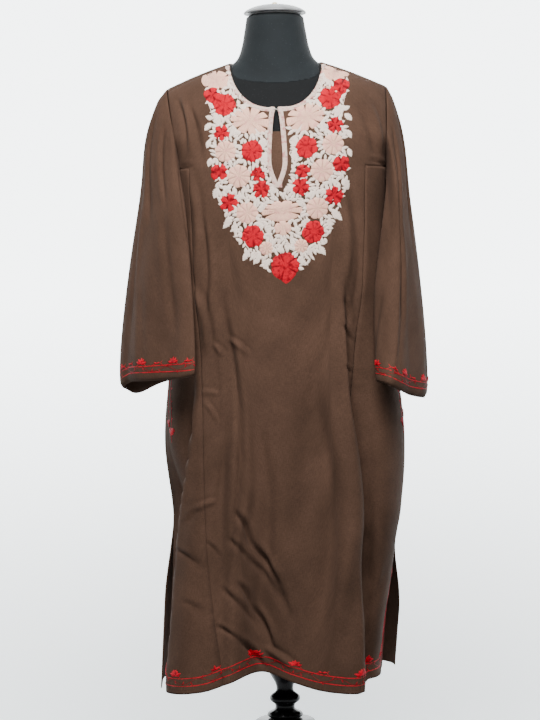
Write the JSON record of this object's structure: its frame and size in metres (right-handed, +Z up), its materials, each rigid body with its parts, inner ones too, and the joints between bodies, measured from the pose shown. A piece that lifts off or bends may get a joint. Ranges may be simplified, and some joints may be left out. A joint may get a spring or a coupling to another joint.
{
  "type": "pheran tunic on a limbless dress form and turned stand",
  "caption": "Long loose tunic with wide three-quarter sleeves, side vents and a slit neck, worn by a limbless dress form on a turned pole and round base.",
  "frame": {"origin": "on the floor at the middle of the stand's round base", "axes": "+Z up along the pole, -Y towards the garment's front, +X to the right as seen from the front"},
  "size_m": [0.5437, 0.356, 1.505],
  "materials": {
    "cloth": "matte woven wool blend, dark brown",
    "form_cover": "black stretched cloth",
    "black_lacquer": "gloss black lacquer",
    "cap_metal": "satin dark grey metal",
    "knob_brass": "polished",
    "hook_metal": "pale wire"
  },
  "bodies": {
    "root": {"front_panel": "cloth", "back_panel": "cloth", "front_gore_left": "cloth", "front_gore_right": "cloth", "back_gore_left": "cloth", "back_gore_right": "cloth", "sleeve_left": "cloth", "sleeve_right": "cloth", "placket_underlay": "cloth", "form_torso": "form_cover", "neck_cap": "cap_metal", "cap_knob": "knob_brass", "stand_pole": "black_lacquer", "stand_base": "black_lacquer", "neck_hook": "hook_metal"}
  },
  "joints": []
}
